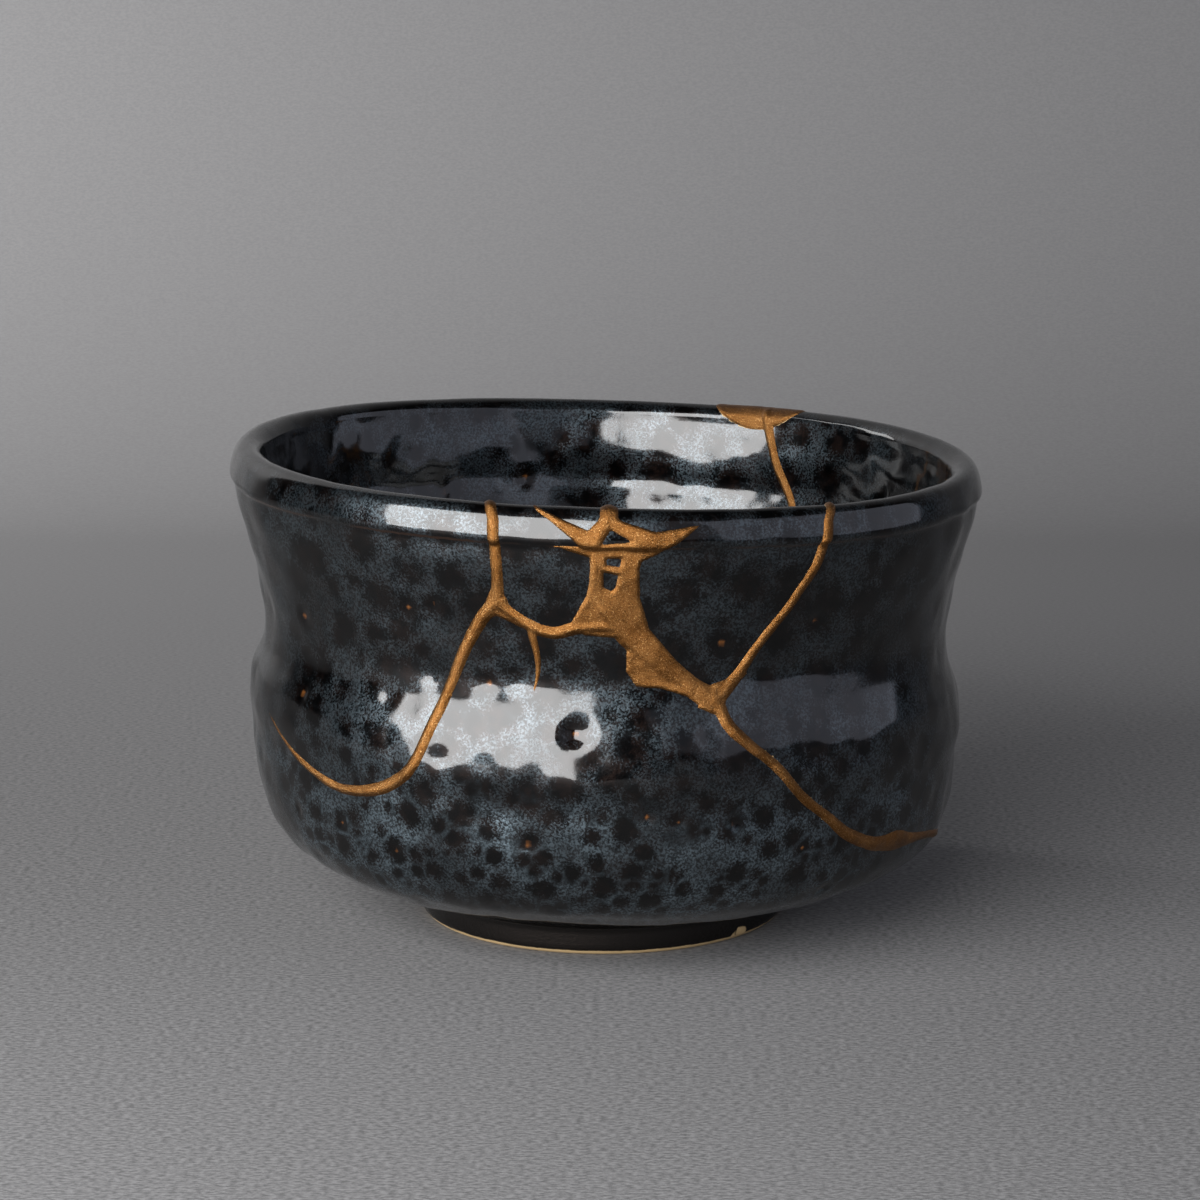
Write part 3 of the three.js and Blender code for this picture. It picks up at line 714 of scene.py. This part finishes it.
outward(bowl)
for cut in cuts:
    outward(cut)
    broken = bowl.modifiers.new(cut.name, "BOOLEAN")
    broken.operation, broken.solver, broken.object = "DIFFERENCE", "MANIFOLD", cut
depsgraph = bpy.context.evaluated_depsgraph_get()
cut_mesh = bpy.data.meshes.new_from_object(bowl.evaluated_get(depsgraph))
bowl.modifiers.clear()
bpy.data.objects.remove(bowl)
for cut in cuts:
    bpy.data.objects.remove(cut)


# Each loose part of the broken bowl is one shard, and stands for the solid whose box it fills best.
whole = bpy.data.objects.new("whole_bowl", cut_mesh)
scene.collection.objects.link(whole)
for other in bpy.context.selected_objects:
    other.select_set(False)
whole.select_set(True)
bpy.context.view_layer.objects.active = whole
bpy.ops.mesh.separate(type="LOOSE")
SHARDS = {
    "bowl_body": "glazed_body",
    "right_wall_shard": "glazed_right_wall_shard",
    "front_right_rim_shard": "glazed_front_right_rim_shard",
    "front_left_rim_shard": "glazed_front_left_rim_shard",
}
for shard in list(bpy.context.selected_objects):
    low, high = np.min(shard.bound_box, axis=0), np.max(shard.bound_box, axis=0)
    misfit = {solid: np.abs(np.array(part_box(solid)) - [low, high]).sum() for solid in SHARDS}
    solid = min(misfit, key=misfit.get)
    shard.name = shard.data.name = SHARDS[solid]
    shard.data.set_sharp_from_angle(angle=np.radians(50))
    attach(shard, "root")
    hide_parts(solid)

# The repair: lacquer run into the cracks and built up over them in rounded beads on both faces, a
# broad patch with spikes over the front of the rim, webs where seams meet, and a filled chip, all
# dusted with gold powder while wet. Its height is drawn on a sheet laid round the wall.
LEFT_RUN_OUT = [
    [-15.6, 63.8, 2.4], [-18.5, 60.8, 2.1], [-22.3, 54.1, 1.9], [-26.3, 44.4, 1.8],
    [-29.6, 35.9, 1.8], [-33.4, 32.2, 1.9], [-38, 30.1, 1.8], [-44, 29.1, 1.5], [-50, 29.8, 1.3],
    [-58.8, 32.4, 0.9], [-66.3, 36.4, 0.3],
]
SMALL_RUN_OUT = [[-11.4, 60.4, 1.4], [-10.3, 53.8, 0.9], [-11, 49.3, 0.3]]
PATCH = [
    [-1, OVER_THE_RIM], [-0.9, 77.6], [-2.6, 75.9], [-5.6, 77], [-10.4, 79.2], [-9.3, 78],
    [-4.6, 74.4], [-3.8, 73.3], [-7.8, 73.3], [-2.4, 71.7], [-2.3, 68.3], [-2.9, 65.5],
    [-5.2, 60.8], [-3.3, 58.9], [1.9, 58.6], [3, 56.8], [3.1, 53], [4.6, 50.7], [8.4, 50.4],
    [12.3, 49.2], [15.4, 46.8], [18.6, 49.9], [14.6, 51.4], [10.7, 54.9], [6.3, 60.2], [4.8, 65.4],
    [4.6, 70.1], [4.9, 71.3], [8.5, 73.2], [13, 76.8], [6.7, 75.8], [2.2, 77.2], [1.5, 77.6],
    [1.4, OVER_THE_RIM],
]
BARE_GLAZE = [
    [[-0.8, 73.9], [0.5, 76], [3.5, 74.4]],
    [[-0.1, 71.6], [2, 71.7], [1.9, 70.3], [0, 70.6]],
    [[-0.5, 69.5], [1.6, 69], [1.3, 67], [0.7, 66.3], [-0.4, 66.9]],
]
SEAM_WEBS = [
    [[-17, 65.4], [-19.4, 59.6], [-16.4, 61.2], [-12.6, 59.6], [-15, 64.6]],
    [[14, 47.4], [18, 45.6], [18.6, 48.4], [22.4, 52.4], [16.4, 51]],
]
SHEET_STEP, SHEET_LOW, SHEET_HIGH, SHEET_LEFT, SHEET_RIGHT = 0.2, 14.0, 85, -74.0, 174
BEAD_SHARE, BEAD_MOST, BEAD_REACH, UNDER_THE_GLAZE = 0.24, 0.5, 16, -0.5
PATCH_CROWN, PATCH_EDGE = 0.30, 0.55
WEB_CROWN, WEB_EDGE = 0.32, 0.6
CHIP_CROWN, CHIP_EDGE = 0.2, 0.6
sheet_up, sheet_across = np.meshgrid(
    np.arange(SHEET_LOW, SHEET_HIGH, SHEET_STEP),
    np.arange(SHEET_LEFT, SHEET_RIGHT, SHEET_STEP),
    indexing="ij",
)


def bead(crack):
    """The height of the gold on one crack over the whole sheet, in mm: a crown times one minus the
    square of the distance from the line over half the width there, so it falls below nothing
    outside the gold; and, apart, whether the crack's slot is there."""
    line = crack_line(crack, 40)
    height, slot = np.full(sheet_up.shape, UNDER_THE_GLAZE), np.zeros(sheet_up.shape, bool)
    reach = np.arange(-BEAD_REACH, BEAD_REACH + 1)
    around, up, width = (line[:, i, None, None] for i in range(3))
    row = np.round((up - SHEET_LOW) / SHEET_STEP).astype(int) + reach[None, :, None]
    column = np.round((around - SHEET_LEFT) / SHEET_STEP).astype(int) + reach[None, None, :]
    row, column = np.broadcast_arrays(np.clip(row, 0, sheet_up.shape[0] - 1), column)
    apart = np.hypot(sheet_up[row, column] - up, sheet_across[row, column] - around)
    crown = np.minimum(BEAD_SHARE * width, BEAD_MOST)
    np.maximum.at(height, (row, column), crown * (1 - (2 * apart / width) ** 2))
    np.logical_or.at(slot, (row, column), apart < THREAD_SHARE / 2 * width)
    return height, slot


def inward(outline, holes=()):
    """How far each place on the sheet lies inside an outline and outside its holes, in mm: the
    distance to the nearest edge, minus outside."""
    place = np.stack([sheet_across, sheet_up], axis=-1)
    depth = np.full(sheet_up.shape, 1e3)
    for number, loop in enumerate([outline, *holes]):
        corners = np.array(loop, dtype=float) * [MM_PER_DEGREE, 1]
        crossings, nearest = np.zeros(sheet_up.shape, int), np.full(sheet_up.shape, 1e3)
        for start, end in zip(corners, np.roll(corners, -1, axis=0)):
            edge = end - start
            share = np.clip(((place - start) @ edge) / (edge @ edge), 0, 1)
            apart = np.linalg.norm(place - start - share[..., None] * edge, axis=-1)
            nearest = np.minimum(nearest, apart)
            spans = (start[1] > sheet_up) != (end[1] > sheet_up)
            with np.errstate(divide="ignore", invalid="ignore"):
                meets = start[0] + (sheet_up - start[1]) * edge[0] / edge[1]
            crossings += spans & (sheet_across < meets)
        inside = (crossings % 2 == 1) ^ (number > 0)
        depth = np.minimum(depth, np.where(inside, nearest, -nearest))
    return depth


def rounded(depth, crown, edge):
    """A flat film with a rounded edge: the crown times one minus the square of the rest of the way
    to the edge's full width, carried on below nothing outside."""
    rest = 1 - np.minimum(depth, edge) / edge
    return np.maximum(crown * (1 - rest**2), UNDER_THE_GLAZE)


def run_together(first, second, blend=0.08):
    """Two heights joined as wet lacquer joins: the greater, with a fillet between them."""
    return (first + second + np.sqrt((first - second) ** 2 + blend**2)) / 2


ALL_CRACKS = [
    FRONT_LEFT_SEAM, FRONT_BRIDGE, PATCH_CRACK, FRONT_RIGHT_SEAM, LOWER_RIGHT_SEAM,
    LEFT_RUN_OUT, SMALL_RUN_OUT,
]
beads, slots = zip(*[bead(crack) for crack in ALL_CRACKS])
chip_across = (sheet_across / MM_PER_DEGREE - CHIP_ANGLE) / CHIP_HALF_WIDTH
chip_edge = CHIP_BOTTOM + CHIP_DEPTH * chip_across**2
chip_slope = 2 * CHIP_DEPTH * chip_across / (CHIP_HALF_WIDTH * MM_PER_DEGREE)
chip_inward = (sheet_up - chip_edge) / np.hypot(1, chip_slope)
both_faces = rounded(chip_inward, CHIP_CROWN, CHIP_EDGE)
for one in beads:
    both_faces = run_together(both_faces, one)
outer_only = rounded(inward(PATCH, BARE_GLAZE), PATCH_CROWN, PATCH_EDGE)
for web in SEAM_WEBS:
    outer_only = run_together(outer_only, rounded(inward(web), WEB_CROWN, WEB_EDGE))
outer_sheet = run_together(both_faces, outer_only)
slot_sheet = np.any(slots, axis=0) | (sheet_up > chip_edge + CHIP_EDGE)


def sampled(values, row, column):
    """A grid's value between its points: the mean of the four round the place, by nearness."""
    row = np.clip(row, 0, values.shape[0] - 1.001)
    column = np.clip(column, 0, values.shape[1] - 1.001)
    i, j = row.astype(int), column.astype(int)
    f, g = row - i, column - j
    return (
        values[i, j] * (1 - f) * (1 - g) + values[i + 1, j] * f * (1 - g)
        + values[i, j + 1] * (1 - f) * g + values[i + 1, j + 1] * f * g
    )


# The film of gold is a grid over the glaze, from the outer face over the lip to the inner face; it
# shows where it is higher than a little under the glaze, and it reaches down into the slots.
GOLD_STEP, LEAST_RISE, TOP_LEAST, SLOT_BOTTOM = 0.25, -0.06, -0.2, -2.0
gold_s, gold_turn = np.meshgrid(
    np.arange(at_height(15), at_height(14.7, True), GOLD_STEP),
    np.radians(np.arange(-69, 164, GOLD_STEP / MM_PER_DEGREE)),
    indexing="ij",
)
gold_up = np.interp(gold_s, along_section, section[:, 1])
sheet_row = (gold_up - SHEET_LOW) / SHEET_STEP
gold_around = np.degrees(gold_turn) * MM_PER_DEGREE
over_the_lip = np.clip((gold_s - top_of_lip + 3.5) / 7, 0, 1)
gold_around = gold_around - skew(gold_around) * over_the_lip
sheet_column = (gold_around - SHEET_LEFT) / SHEET_STEP
gold_rise = np.where(
    gold_s < top_of_lip,
    sampled(outer_sheet, sheet_row, sheet_column),
    sampled(both_faces, sheet_row, sheet_column),
)
in_slot = sampled(slot_sheet.astype(float), sheet_row, sheet_column) > 0.5
closed_on = np.concatenate([np.arange(COLUMNS), [0]])
glaze_row = np.interp(gold_s, rows_at, np.arange(ROWS))
glaze_column = (gold_turn / (2 * np.pi) * COLUMNS) % COLUMNS
under_radius = sampled(glaze_radius[:, closed_on], glaze_row, glaze_column)
under_height = sampled(glaze_height[:, closed_on], glaze_row, glaze_column)
gold_facing = np.stack([np.interp(gold_s, along_section, facing[:, i]) for i in (0, 1)])
on_gold = round_the_bowl(under_radius, under_height, gold_turn)
brushed = 0.07 * waves(on_gold, 5, 9, 21) + 0.05 * waves(on_gold, 1.6, 9, 22)
gold_rise = gold_rise + np.clip(gold_rise + 0.3, 0, 0.4) * brushed
shown = gold_rise > LEAST_RISE
cell = shown[:-1, :-1] | shown[1:, :-1] | shown[:-1, 1:] | shown[1:, 1:]


def gold_sheet(rise):
    """The sheet of gold at a height over the glaze, moved out square to the turned section."""
    radius, height = under_radius + gold_facing[0] * rise, under_height + gold_facing[1] * rise
    return leant(round_the_bowl(radius, height, gold_turn)).reshape(-1, 3)


def closed_film(cell, columns):
    """The faces of a film with an upper and a lower sheet: the squares that are covered, above and
    turned over below, and a wall along each edge that has no covered square on its other side."""
    rows = cell.shape[0]
    squares = sheet_faces(rows + 1, columns)
    under = (rows + 1) * columns
    above = squares[cell.ravel()]
    border = np.pad(cell, 1)
    walls = []
    for (row, column), (start, end) in (
        ((0, 1), (0, 1)), ((1, 2), (1, 2)), ((2, 1), (2, 3)), ((1, 0), (3, 0)),
    ):
        bare = ~border[row : row + rows, column : column + cell.shape[1]]
        edge = squares[(cell & bare).ravel()]
        near, far = edge[:, start], edge[:, end]
        walls.append(np.stack([far, near, near + under, far + under], axis=1))
    return np.concatenate([above, above[:, ::-1] + under, *walls])


top_sheet = gold_sheet(np.maximum(gold_rise, TOP_LEAST))
lower_sheet = gold_sheet(np.where(in_slot, SLOT_BOTTOM, UNDER_THE_GLAZE))
film = closed_film(cell, gold_s.shape[1])
used, film = np.unique(film, return_inverse=True)
gold = put_in("gold_lacquer", np.concatenate([top_sheet, lower_sheet])[used], film.reshape(-1, 4))
outward(gold)
gold.data.set_sharp_from_angle(angle=np.radians(60))
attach(gold, "root")
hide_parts("gold_lacquer_seams")

# Gold powder on the lacquer: warm and satin, rubbed a little smoother in places, with dark grains
# where the lacquer shows and bright ones where a flake lies flat: partly the flake's own gold and
# partly a glint painted into the colour.
GOLD_DEEP, GOLD_WARM = (0.150, 0.061, 0.015), (0.225, 0.100, 0.029)
LACQUER_BROWN, FLAKE_AND_GLINT_GOLD = (0.07, 0.026, 0.007), (0.60, 0.37, 0.16)
gold_dust, nodes, links, shader = material("gold_dust")
place = node(nodes, "ShaderNodeTexCoord").outputs["Object"]
grain = noise(5200, 2.0, 0.8)
rubbed = noise(260, 4.0, 0.6)
tint = mixed(between(rubbed, 0.35, 0.7), GOLD_DEEP, GOLD_WARM)
tint = mixed(between(grain, 0.46, 0.30), tint, LACQUER_BROWN)
# Painted glint: bright grains put into the gold's colour where a flake lies flat, over the flake's
# own gold.
tint = mixed(between(grain, 0.56, 0.72), tint, FLAKE_AND_GLINT_GOLD)
links.new(tint, shader.inputs["Base Color"])
shader.inputs["Metallic"].default_value = 1.0
links.new(maths("MULTIPLY_ADD", rubbed, 0.24, 0.24), shader.inputs["Roughness"])
dust = node(nodes, "ShaderNodeBump", {"Strength": 0.55, "Distance": 0.0003})
links.new(grain, dust.inputs["Height"])
links.new(dust.outputs["Normal"], shader.inputs["Normal"])
gold.data.materials.append(gold_dust)

# The boxes of the solids and of the dressed bowl, kept side by side.
boxes = {"cad": cad_box, "visual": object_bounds()}
boxes = {name: [[float(v) for v in corner] for corner in box] for name, box in boxes.items()}
